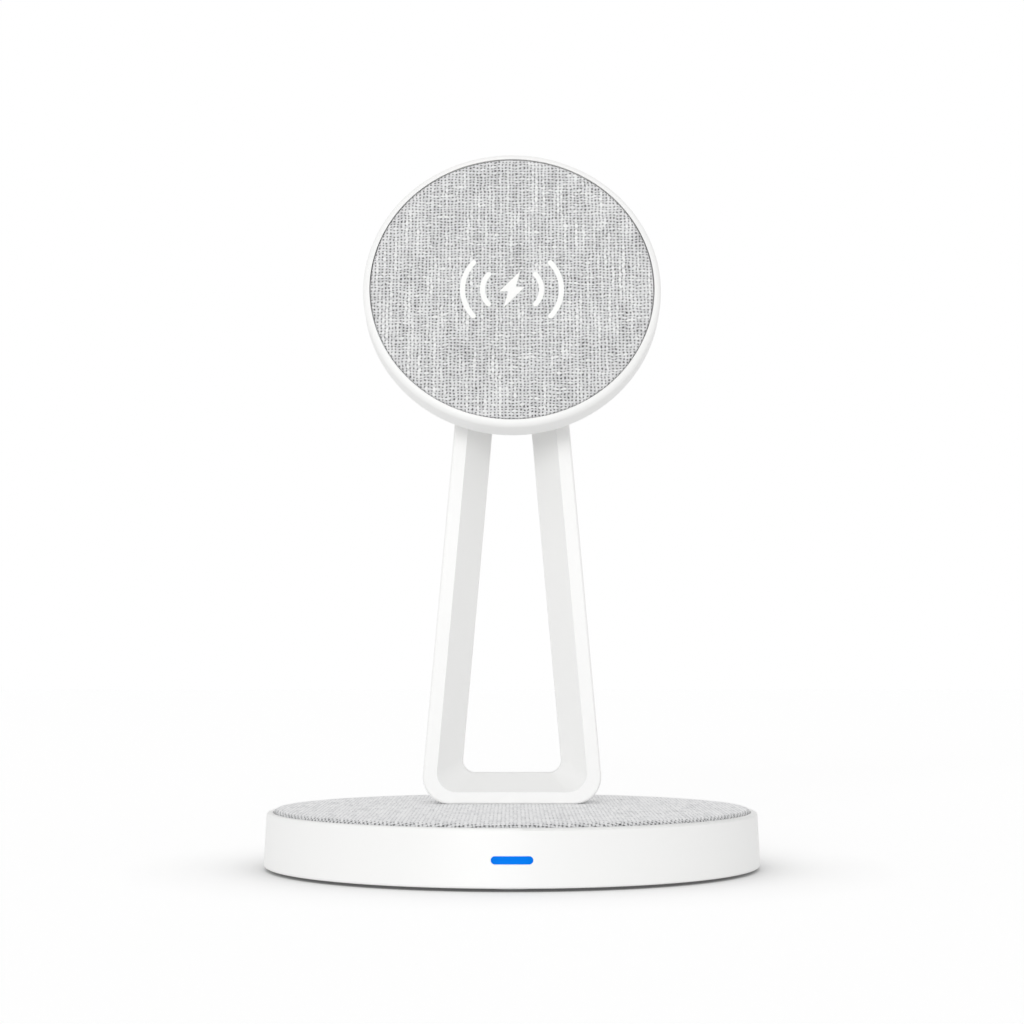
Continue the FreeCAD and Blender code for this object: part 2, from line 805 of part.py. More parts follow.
def head_face_plate():
    """Stiff plate behind the head's fabric, seated on the housing's ledge."""
    return on_head(disc(face_radius, face_plate_back, face_plate_front))


def head_fabric():
    """Fabric disc on the head's face."""
    return on_head(turned([
        (0, face_plate_front, 0),
        (face_radius, face_plate_front, 0),
        (face_radius, fabric_front, face_edge_round),
        (0, fabric_front, 0),
    ]))


def head_coil():
    """Flat wound coil of the phone charger, behind the face plate."""
    return on_head(ring(head_coil_radius, head_coil_bore, head_coil_back, face_plate_back))


def head_ferrite():
    """Ferrite sheet behind the phone coil."""
    return on_head(disc(head_coil_radius, head_ferrite_back, head_coil_back))


def head_magnets():
    """Ring of separate magnets that hold the phone, glued to the face plate."""
    step = 360.0 / magnet_count
    corners = [(magnet_inner, 0), (magnet_outer, 0), (magnet_outer, 1), (magnet_inner, 1)]
    magnets = []
    for i in range(magnet_count):
        points = [Vector(r, 0, face_plate_back - magnet_thickness * z) for r, z in corners]
        magnet = rounded_face(points, [0] * 4).revolve(Vector(), Z_AXIS, step - magnet_slit)
        magnet.rotate(Vector(), Z_AXIS, i * step)
        magnets.append(magnet)
    return on_head(Part.makeCompound(magnets))


def head_yoke():
    """Thin steel ring that closes the magnets' field behind them."""
    front = face_plate_back - magnet_thickness
    return on_head(ring(magnet_outer, magnet_inner, front - yoke_thickness, front))


def head_board():
    """Round circuit board on the housing's posts."""
    return on_head(disc(head_board_radius, head_board_back, head_board_front))


def arm_screws():
    """Screws that hold the hinge arm to the head, from inside the housing."""
    length = arm_screw_length - pilot_play
    return on_head(screws_at(arm_screw_places, length, head_floor, upward=False))


def head_lead():
    """Lead from the hinge pin through the arm to the head's board."""
    route = [Vector(-lead_join, 0, 0), Vector(), Vector(0, 0, head_board_back)]
    return on_head(tube(route, lead_radius))


PIECES = [
    base_housing, base_bottom_cover, foot_pads, base_pad_board, base_fabric,
    base_coil, base_ferrite, counterweight, main_board, board_components,
    usb_socket, usb_tongue, light_bar, light_chip, light_board,
    cover_screws, board_screws, stand_screws, lead_plug, stand_lead,
    stand_front_shell, stand_rear_cover, hinge_pin, hinge_washers, hinge_cap,
    hinge_arm, arm_screws, head_housing, head_face_plate, head_fabric,
    head_coil, head_ferrite, head_magnets, head_yoke, head_board, head_lead,
]


def main():
    """Builds every piece and writes one STEP file for each."""
    os.makedirs("parts", exist_ok=True)
    for piece in PIECES:
        shape = piece()
        solids = shape.Solids
        if not shape.isValid() or not solids or min(s.Volume for s in solids) <= 0:
            raise ValueError(f"{piece.__name__} isn't a sound solid")
        if len(solids) == 1:
            shape = solids[0]
        shape.exportStep(os.path.join("parts", piece.__name__ + ".step"))
        print(f"{piece.__name__}: {len(solids)} solid(s), {shape.Volume:.1f} mm3")


main()
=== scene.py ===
"""Looks of the two-in-one wireless charging stand: finishes, woven fabrics, printed sign and studio."""
import json
import logging
import math
from dataclasses import dataclass
from enum import Enum
from typing import Any, Sequence, Union

import bmesh
import bpy
from mathutils import Matrix, Vector


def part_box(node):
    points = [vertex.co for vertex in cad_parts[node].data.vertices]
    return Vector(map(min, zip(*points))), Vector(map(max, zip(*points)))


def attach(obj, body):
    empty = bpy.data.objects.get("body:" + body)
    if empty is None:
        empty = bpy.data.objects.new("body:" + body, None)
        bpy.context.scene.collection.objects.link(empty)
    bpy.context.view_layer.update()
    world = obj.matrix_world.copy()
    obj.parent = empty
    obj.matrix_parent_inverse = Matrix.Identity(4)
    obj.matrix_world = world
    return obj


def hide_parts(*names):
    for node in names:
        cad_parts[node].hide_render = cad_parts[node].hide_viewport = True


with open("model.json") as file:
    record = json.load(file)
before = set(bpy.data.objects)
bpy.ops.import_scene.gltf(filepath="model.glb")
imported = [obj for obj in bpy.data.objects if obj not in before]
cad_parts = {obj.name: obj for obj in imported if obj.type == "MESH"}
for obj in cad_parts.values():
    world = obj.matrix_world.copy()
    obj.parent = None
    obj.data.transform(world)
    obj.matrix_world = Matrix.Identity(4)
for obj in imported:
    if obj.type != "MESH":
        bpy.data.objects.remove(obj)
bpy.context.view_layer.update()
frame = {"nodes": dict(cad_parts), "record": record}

LOG = logging.getLogger("charging_stand")
MM = 0.001  # metres in a millimetre
MATH = "ShaderNodeMath"
VECTOR = "ShaderNodeVectorMath"
NOISE = "ShaderNodeTexNoise"
SPAN = "ShaderNodeMapRange"
MIX = "ShaderNodeMix"
SHADER = "ShaderNodeBsdfPrincipled"
# The Mix node's sockets by number, because their names repeat for each type of value
FACTOR, FLOAT_A, FLOAT_B, COLOUR_A, COLOUR_B = 0, 2, 3, 6, 7
MIXED_COLOUR = 2
HALF = (0.5, 0.5, 0.5)
TINY = 1e-9  # keeps a division by a radius safe
GRIT_DEPTH = 0.02 * MM  # height of the grit on moulded, plated and sintered surfaces
WHITE = (1.0, 1.0, 1.0, 1.0)
CLOTH_UV = "UVMap"
CLOTH_TURN = "turned"  # how far the cloth is turned down, from 0 on the face to 1 on the side
CLOTH_UV_SPAN = 0.1  # metres of flat cloth across the whole UV map
CLOTH_UV_MIDDLE = 0.5  # where the cloth's middle lies on it

Link = Union[bpy.types.Node, bpy.types.NodeSocket, float, int, Sequence[float], str]
Links = Union[Sequence[Link], dict[Union[str, int], Link]]


class Body(Enum):
    """The rigid bodies that pieces ride on."""

    BASE = "base"
    HEAD = "head"


class Slot(Enum):
    """The record's material slots."""

    WHITE_PLASTIC = "white_plastic"
    GREY_FABRIC = "grey_fabric"
    SILICONE = "silicone"
    COPPER = "copper"
    FERRITE = "ferrite"
    STEEL = "steel"
    NICKEL = "nickel"
    CIRCUIT_BOARD = "circuit_board"
    BLACK_PLASTIC = "black_plastic"
    BLUE_LIGHT = "blue_light"


def linear(hex_colour: str) -> tuple[float, float, float, float]:
    """Turns an sRGB hex colour into linear light.

    Args:
        hex_colour: Six hex digits with a leading hash.

    Returns:
        Linear red, green, blue and an alpha of one.
    """
    parts = [int(hex_colour[i:i + 2], 16) / 255 for i in (1, 3, 5)]
    light = [c / 12.92 if c <= 0.04045 else ((c + 0.055) / 1.055) ** 2.4 for c in parts]
    return (light[0], light[1], light[2], 1.0)


def add_node(tree: bpy.types.NodeTree, kind: str, links: Links = (), **settings: Any) -> bpy.types.Node:
    """Adds one node, sets its options and fills its inputs.

    Args:
        tree: The node tree to add to.
        kind: The node's type name.
        links: Inputs in order, or by socket name or number. A node stands for its first output.
        settings: Options of the node itself.

    Returns:
        The new node.
    """
    node = tree.nodes.new(kind)
    for name, value in settings.items():
        setattr(node, name, value)
    pairs = links.items() if isinstance(links, dict) else enumerate(links)
    for key, value in pairs:
        if isinstance(value, bpy.types.Node):
            value = value.outputs[0]
        if isinstance(value, bpy.types.NodeSocket):
            tree.links.new(value, node.inputs[key])
        else:
            node.inputs[key].default_value = value
    return node


def new_material(name: str) -> tuple[bpy.types.Material, bpy.types.NodeTree, bpy.types.Node]:
    """Starts a node material.

    Args:
        name: The finish's name.

    Returns:
        The material, its tree and its output node.
    """
    material = bpy.data.materials.new(name)
    material.use_nodes = True
    tree = material.node_tree
    tree.nodes.clear()
    return material, tree, add_node(tree, "ShaderNodeOutputMaterial")


def link_surface(tree: bpy.types.NodeTree, surface: bpy.types.Node, output: bpy.types.Node) -> None:
    """Links a shader to the material's output."""
    tree.links.new(surface.outputs[0], output.inputs["Surface"])


@dataclass(frozen=True)
class PlainWeave:
    """A plain weave of slubby threads, where each goes over one crossing and under the next."""

    warp_mm: float = 0.75  # thread to thread
    weft_mm: float = 0.69
    warp_stray: float = 0.8  # how far threads stray from their lines, in threads
    weft_stray: float = 1.4
    warp_slub: float = 14.0  # length of a slub, in threads
    weft_slub: float = 5.0
    weft_mix: float = 0.7  # how far weft threads differ in tone, next to warp threads
    thin: float = 0.55  # width of the thinnest threads, as a share of the spacing
    thick: float = 0.88
    swing: float = 0.25  # how far a thread goes up and down at the crossings, as a share of its height
    stray_scale: float = 0.45  # how quickly threads stray, in waves to a thread
    tone_span: tuple[float, float] = (0.3, 0.7)  # tones of the thinnest and the thickest threads
    tone_step: float = 9.17  # from a thread to the next in the noise that gives each its own tone
    way_step: float = 37.0  # and from warp to weft

    def add(self, tree: bpy.types.NodeTree, cloth_uv: Link) -> dict[str, bpy.types.Node]:
        """Adds the weave's nodes to a material's or a modifier's tree.

        Args:
            tree: The tree to add to.
            cloth_uv: Place on the flat cloth, as in its UV map.

        Returns:
            The nodes for the place counted in threads along their lines, the relief from 0 in a hole to 1
            on a crest, and the tone of the thread that shows.
        """
        threads = (CLOTH_UV_SPAN / (self.warp_mm * MM), CLOTH_UV_SPAN / (self.weft_mm * MM), 0.0)
        flat = add_node(tree, VECTOR, [cloth_uv, threads], operation="MULTIPLY")
        astray = add_node(tree, NOISE, {"Vector": flat, "Scale": self.stray_scale, "Detail": 1.0})
        astray = add_node(tree, VECTOR, [astray.outputs["Color"], HALF], operation="SUBTRACT")
        stray = (self.warp_stray, self.weft_stray, 0.0)
        astray = add_node(tree, VECTOR, [astray, stray], operation="MULTIPLY")
        line = add_node(tree, VECTOR, [flat, astray], operation="ADD")
        axes = add_node(tree, "ShaderNodeSeparateXYZ", [line])
        warp, weft = axes.outputs["X"], axes.outputs["Y"]
        heights, tones = [], []
        threads_by_way = (
            (warp, weft, 1.0, self.warp_slub, 1.0),
            (weft, warp, -1.0, self.weft_slub, self.weft_mix),
        )
        for own, run, phase, slub, mix in threads_by_way:
            number = add_node(tree, MATH, [own], operation="FLOOR")
            apart = add_node(
                tree, MATH, [number, self.tone_step, self.way_step * phase], operation="MULTIPLY_ADD",
            )
            drift = add_node(tree, MATH, [run, 1 / slub], operation="MULTIPLY")
            spot = add_node(tree, "ShaderNodeCombineXYZ", [apart, drift])
            tone = add_node(tree, NOISE, {"Vector": spot, "Scale": 1.0, "Detail": 2.0})
            tone = add_node(tree, MATH, [tone.outputs["Fac"], mix, (1 - mix) / 2], operation="MULTIPLY_ADD")
            tones.append(tone)
            width = add_node(tree, SPAN, {
                "Value": tone, "From Min": self.tone_span[0], "From Max": self.tone_span[1],
                "To Min": self.thin, "To Max": self.thick,
            })
            offset = add_node(tree, MATH, [own, number], operation="SUBTRACT")
            offset = add_node(tree, MATH, [offset, 2.0, -1.0], operation="MULTIPLY_ADD")
            offset = add_node(tree, MATH, [offset, width], operation="DIVIDE")
            square = add_node(tree, MATH, [offset, offset], operation="MULTIPLY")
            section = add_node(tree, MATH, [1.0, square], operation="SUBTRACT")
            section = add_node(tree, MATH, [section, 0.0], operation="MAXIMUM")
            section = add_node(tree, MATH, [section], operation="SQRT")
            turn = add_node(tree, MATH, [run, number], operation="ADD")
            turn = add_node(tree, MATH, [turn, math.pi, -math.pi / 2], operation="MULTIPLY_ADD")
            wave = add_node(tree, MATH, [turn], operation="COSINE")
            crest = add_node(
                tree, MATH, [wave, self.swing * phase, 1 - self.swing], operation="MULTIPLY_ADD",
            )
            heights.append(add_node(tree, MATH, [section, crest], operation="MULTIPLY"))
        warp_shows = add_node(tree, MATH, heights, operation="GREATER_THAN")
        return {
            "line": line,
            "relief": add_node(tree, MATH, heights, operation="MAXIMUM"),
            "tone": add_node(tree, MIX, {FACTOR: warp_shows, FLOAT_A: tones[1], FLOAT_B: tones[0]}),
        }


@dataclass(frozen=True)
class MouldedWhite:
    """White ABS moulded in a finely spark-eroded tool: even white with a soft, broad gloss."""

    name: str = "white_abs_satin_moulded"
    colour: str = "#F3F3F2"
    roughness: float = 0.42
    smoother: float = 0.04  # how far the gloss drifts each way
    rougher: float = 0.05
    drift_mm: float = 14.0  # and over what distance
    grit_mm: float = 0.35  # the real texture is finer; this is the finest that shows
    grit: float = 0.06
    ior: float = 1.53

    def build(self) -> bpy.types.Material:
        """Makes the material: a faint uneven gloss and grit over one white.

        Returns:
            The finished material.
        """
        material, tree, output = new_material(self.name)
        place = add_node(tree, "ShaderNodeTexCoord")
        grit = add_node(tree, NOISE, {
            "Vector": place.outputs["Object"], "Scale": 1 / (self.grit_mm * MM), "Detail": 2.0,
        })
        bump = add_node(tree, "ShaderNodeBump", {
            "Strength": self.grit, "Distance": GRIT_DEPTH, "Height": grit.outputs["Fac"],
        })
        cloud = add_node(tree, NOISE, {
            "Vector": place.outputs["Object"], "Scale": 1 / (self.drift_mm * MM), "Detail": 3.0,
        })
        gloss = add_node(tree, SPAN, {
            "Value": cloud.outputs["Fac"],
            "To Min": self.roughness - self.smoother, "To Max": self.roughness + self.rougher,
        })
        surface = add_node(tree, SHADER, {
            "Base Color": linear(self.colour), "Roughness": gloss, "IOR": self.ior, "Normal": bump,
        })
        link_surface(tree, surface, output)
        return material


@dataclass(frozen=True)
class WovenHeather:
    """Plain-woven heathered polyester: pale slubby threads of mixed greys, with painted shade in the pin
    holes between them and on the threads' low sides.
    """

    name: str = "heather_polyester_weave"
    weave: PlainWeave = PlainWeave()
    pale: str = "#EBEBEB"
    middle: str = "#D9D9DA"
    dark: str = "#C8C8C9"
    # painted shade: the pin holes between the threads are painted near black
    hole: str = "#0E0F11"
    turned_hole_painted_shade: str = "#5A5B5D"  # painted shade in the holes where the cloth goes round an edge, which opens the weave
    # painted shade on the threads where the cloth goes round an edge
    turned_painted_shade: str = "#A8AAAC"
    turned_painted_dim: float = 0.2  # how far the turned cloth's threads take on that painted shade
    filled: float = 0.42  # how far fibres fill the fullest holes
    patch: float = 5.0  # size of patches where holes are fuller, in threads
    nap: float = 0.75  # how unevenly fibres cover the weave
    fibres: float = 1.7  # waves of that to a thread
    opens: float = 0.2  # how far the weave opens where the cloth is turned
    shade_span: tuple[float, float] = (0.34, 0.66)  # tones of the darkest and the palest threads
    patch_span: tuple[float, float] = (0.35, 0.65)  # noise from open to full patches
    cover_and_shade_span: tuple[float, float] = (0.1, 0.72)  # heights from a hole to a covered thread; below the top one the threads take the painted hole shade
    bump: float = 0.35
    bump_mm: float = 0.1
    roughness: float = 0.9
    sheen: float = 0.1
    sheen_spread: float = 0.5
    ior: float = 1.45

    def build(self) -> bpy.types.Material:
        """Makes the material: each thread has its own grey that drifts along it, and the holes and the
        threads' low sides are painted dark as painted shade.

        Returns:
            The finished material.
        """
        material, tree, output = new_material(self.name)
        weave = self.weave.add(tree, add_node(tree, "ShaderNodeUVMap", uv_map=CLOTH_UV))
        shade = add_node(tree, "ShaderNodeValToRGB", [weave["tone"]])
        ramp = shade.color_ramp
        for stop, position, colour in zip(ramp.elements, self.shade_span, (self.dark, self.pale)):
            stop.position, stop.color = position, linear(colour)
        ramp.elements.new(sum(self.shade_span) / 2).color = linear(self.middle)
        turned = add_node(tree, "ShaderNodeAttribute", attribute_name=CLOTH_TURN).outputs["Fac"]
        # Painted shade in the holes, with its own tone where the cloth is turned
        painted_hole_shade = add_node(tree, MIX, {
            FACTOR: turned, COLOUR_A: linear(self.hole), COLOUR_B: linear(self.turned_hole_painted_shade),
        }, data_type="RGBA")
        corner = add_node(tree, VECTOR, [weave["line"], HALF], operation="ADD")
        corner = add_node(tree, VECTOR, [corner], operation="FLOOR")
        chance = add_node(tree, "ShaderNodeTexWhiteNoise", {"Vector": corner}, noise_dimensions="2D")
        patch = add_node(tree, NOISE, {"Vector": corner, "Scale": 1 / self.patch, "Detail": 1.0})
        patch = add_node(tree, SPAN, {
            "Value": patch.outputs["Fac"], "From Min": self.patch_span[0], "From Max": self.patch_span[1],
        })
        filled = add_node(tree, MATH, [chance, patch], operation="ADD")
        filled = add_node(tree, MATH, [filled, self.filled / 2], operation="MULTIPLY")
        painted_hole_shade = add_node(tree, MIX, {
            FACTOR: filled, COLOUR_A: painted_hole_shade.outputs[MIXED_COLOUR], COLOUR_B: linear(self.dark),
        }, data_type="RGBA")
        # Painted shade on the threads of the turned edge
        edge_shade_share = add_node(tree, MATH, [turned, self.turned_painted_dim], operation="MULTIPLY")
        thread = add_node(tree, MIX, {
            FACTOR: edge_shade_share, COLOUR_A: shade, COLOUR_B: linear(self.turned_painted_shade),
        }, data_type="RGBA")
        fibre = add_node(tree, NOISE, {"Vector": weave["line"], "Scale": self.fibres, "Detail": 3.0})
        nap = add_node(
            tree, MATH, [fibre.outputs["Fac"], self.nap, -self.nap / 2], operation="MULTIPLY_ADD",
        )
        nap = add_node(tree, MATH, [nap, weave["relief"]], operation="ADD")
        opened = add_node(tree, MATH, [turned, -self.opens, nap], operation="MULTIPLY_ADD")
        # The low parts of the weave take the painted hole shade, so the threads' sides are painted darker
        # too
        cover = add_node(tree, SPAN, {
            "Value": opened, "From Min": self.cover_and_shade_span[0], "From Max": self.cover_and_shade_span[1],
        }, interpolation_type="SMOOTHSTEP")
        colour = add_node(tree, MIX, {
            FACTOR: cover, COLOUR_A: painted_hole_shade.outputs[MIXED_COLOUR], COLOUR_B: thread.outputs[MIXED_COLOUR],
        }, data_type="RGBA")
        bump = add_node(tree, "ShaderNodeBump", {
            "Strength": self.bump, "Distance": self.bump_mm * MM, "Height": nap,
        })
        surface = add_node(tree, SHADER, {
            "Base Color": colour.outputs[MIXED_COLOUR], "Roughness": self.roughness, "IOR": self.ior,
            "Sheen Weight": self.sheen, "Sheen Roughness": self.sheen_spread, "Normal": bump,
        })
        link_surface(tree, surface, output)
        return material


# The pad's cloth is pressed flat, which closes its weave but for the turned edge. Its threads and holes are
# also painted paler than the head's cloth, as painted light on its top, and its turned edge is painted
# darker, as painted shade.
PAD_HEATHER_PAINTED_LIGHT = WovenHeather(
    name="pressed_heather_weave_painted_paler",
    weave=PlainWeave(
        warp_stray=0.7,
        weft_stray=0.7,
        warp_slub=12.0,
        weft_slub=8.0,
        thin=0.6,
        thick=1.05,
    ),
    # painted light: thread and hole colours paler than the head cloth's
    pale="#FFFFFF",
    middle="#F8F8F9",
    dark="#E2E3E4",
    hole="#98999B",
    # painted shade at the turned edge: near-black holes and darker threads
    turned_hole_painted_shade="#161719",
    turned_painted_shade="#808284",
    turned_painted_dim=0.3,
    filled=0.15,
    nap=0.6,
)


@dataclass(frozen=True)
class PlainFinish:
    """A finish of one colour with a fine speckle: moulded, plated, sintered or coated surfaces."""

    name: str
    colour: str
    shade: str
    roughness: float
    metallic: float = 0.0
    speckle_mm: float = 0.6
    bump: float = 0.05

    def build(self) -> bpy.types.Material:
        """Makes the material: two close shades mixed by the speckle, which also roughens the surface.

        Returns:
            The finished material.
        """
        material, tree, output = new_material(self.name)
        place = add_node(tree, "ShaderNodeTexCoord")
        speckle = add_node(tree, NOISE, {
            "Vector": place.outputs["Object"], "Scale": 1 / (self.speckle_mm * MM), "Detail": 3.0,
        })
        colour = add_node(tree, MIX, {
            FACTOR: speckle.outputs["Fac"], COLOUR_A: linear(self.colour), COLOUR_B: linear(self.shade),
        }, data_type="RGBA")
        bump = add_node(tree, "ShaderNodeBump", {
            "Strength": self.bump, "Distance": GRIT_DEPTH, "Height": speckle.outputs["Fac"],
        })
        surface = add_node(tree, SHADER, {
            "Base Color": colour.outputs[MIXED_COLOUR], "Roughness": self.roughness,
            "Metallic": self.metallic, "Normal": bump,
        })
        link_surface(tree, surface, output)
        return material


@dataclass(frozen=True)
class LitDiffuser:
    """Milky acrylic light bar lit from behind: an even, saturated blue that hardly takes on other light."""

    name: str = "lit_blue_acrylic_diffuser"
    colour: str = "#0080F8"
    unlit: str = "#001233"
    strength: float = 0.92
    end_share: float = 0.93  # of the strength, at the bar's ends
    even_mm: float = 2.2  # from the bar's middle, evenly lit
    end_mm: float = 3.7
    roughness: float = 0.35
    gloss: float = 0.02

    def build(self) -> bpy.types.Material:
        """Makes the material: a dark gloss surface that shines blue, a little less towards its ends.

        Returns:
            The finished material.
        """
        material, tree, output = new_material(self.name)
        place = add_node(tree, "ShaderNodeTexCoord")
        axes = add_node(tree, "ShaderNodeSeparateXYZ", [place.outputs["Object"]])
        side = add_node(tree, MATH, [axes.outputs["X"]], operation="ABSOLUTE")
        glow = add_node(tree, SPAN, {
            "Value": side, "From Min": self.even_mm * MM, "From Max": self.end_mm * MM,
            "To Min": self.strength, "To Max": self.end_share * self.strength,
        })
        surface = add_node(tree, SHADER, {
            "Base Color": linear(self.unlit), "Roughness": self.roughness, "Specular IOR Level": self.gloss,
            "Emission Color": linear(self.colour), "Emission Strength": glow,
        })
        link_surface(tree, surface, output)
        return material


Finish = Union[MouldedWhite, WovenHeather, PlainFinish, LitDiffuser]

FINISHES: dict[Slot, Finish] = {
    Slot.WHITE_PLASTIC: MouldedWhite(),
    Slot.GREY_FABRIC: WovenHeather(),
    # Silicone rubber: soft, matt and a little dusty
    Slot.SILICONE: PlainFinish("grey_silicone_matt", "#C9CACA", "#BDBEBE", roughness=0.75),
    # Enamelled copper wire: warm metal under clear varnish
    Slot.COPPER: PlainFinish(
        "enamelled_copper_winding", "#B87046", "#A86038",
        roughness=0.32, metallic=1.0, speckle_mm=0.3, bump=0.2,
    ),
    # Sintered ferrite: dull charcoal
    Slot.FERRITE: PlainFinish("sintered_ferrite", "#2B2C2E", "#222325", roughness=0.7),
    # Bright zinc-plated or stamped steel: cool grey metal
    Slot.STEEL: PlainFinish("bright_plated_steel", "#C4C6C8", "#B4B7BA", roughness=0.28, metallic=1.0),
    # Nickel plate: slightly warm, smooth metal
    Slot.NICKEL: PlainFinish("nickel_plate", "#CFCBC4", "#C4C0B8", roughness=0.22, metallic=1.0),
    # Solder mask over glass-fibre board: glossy green, slightly mottled
    Slot.CIRCUIT_BOARD: PlainFinish("green_solder_mask", "#1F6B45", "#1A5E3C", roughness=0.35),
    # Black nylon: matt moulding
    Slot.BLACK_PLASTIC: PlainFinish("black_nylon_moulded", "#1E1E1F", "#262627", roughness=0.5),
    Slot.BLUE_LIGHT: LitDiffuser(),
}
# Screen ink: opaque white, flat and a little glossier than the threads
SCREEN_INK = PlainFinish(
    "white_screen_ink", "#F9F9F8", "#F5F5F4", roughness=0.55, speckle_mm=0.5, bump=0.1,
)
# Gold flash on contact strips: yellow metal
GOLD_FLASH = PlainFinish(
    "gold_flash", "#D9B56A", "#CDA85C", roughness=0.25, metallic=1.0, speckle_mm=0.3,
)


def mesh_object(name: str, mesh: bpy.types.Mesh) -> bpy.types.Object:
    """Puts a mesh into the scene as an object at the origin.

    Args:
        name: The piece's name.
        mesh: The mesh, already in its place.

    Returns:
        The new object.
    """
    piece = bpy.data.objects.new(name, mesh)
    bpy.context.scene.collection.objects.link(piece)
    return piece


def grown_mesh(name: str, tree: bpy.types.NodeTree, sizes: dict[str, Any]) -> bpy.types.Mesh:
    """Runs a Geometry Nodes tree with the given sizes and keeps the result as a plain mesh.

    Args:
        name: Name of the mesh.
        tree: The tree to run.
        sizes: Values by the name of the tree's input.

    Returns:
        The plain mesh.
    """
    carrier = mesh_object(name, bpy.data.meshes.new(name))
    modifier = carrier.modifiers.new(name, "NODES")
    modifier.node_group = tree
    for socket in tree.interface.items_tree:
        if socket.in_out == "INPUT" and socket.name in sizes:
            modifier[socket.identifier] = sizes[socket.name]
    grown = carrier.evaluated_get(bpy.context.evaluated_depsgraph_get())
    mesh = bpy.data.meshes.new_from_object(grown)
    mesh.name = name
    bpy.data.objects.remove(carrier)
    return mesh


def new_tree(name: str, inputs: dict[str, str]) -> tuple[bpy.types.NodeTree, bpy.types.Node]:
    """Starts a Geometry Nodes tree.

    Args:
        name: The tree's name.
        inputs: Socket type by the name of each input.

    Returns:
        The tree and its input node.
    """
    tree = bpy.data.node_groups.new(name, "GeometryNodeTree")
    for label, kind in inputs.items():
        tree.interface.new_socket(label, in_out="INPUT", socket_type=kind)
    tree.interface.new_socket("Geometry", in_out="OUTPUT", socket_type="NodeSocketGeometry")
    return tree, add_node(tree, "NodeGroupInput")


def close_tree(tree: bpy.types.NodeTree, geometry: Link, material: Link) -> None:
    """Ends a tree: real geometry, smooth faces, one material.

    Args:
        tree: The tree to end.
        geometry: What it has made.
        material: The socket that holds its material.
    """
    real = add_node(tree, "GeometryNodeRealizeInstances", [geometry])
    smooth = add_node(tree, "GeometryNodeSetShadeSmooth", [real])
    dressed = add_node(tree, "GeometryNodeSetMaterial", {"Geometry": smooth, "Material": material})
    add_node(tree, "NodeGroupOutput", [dressed])


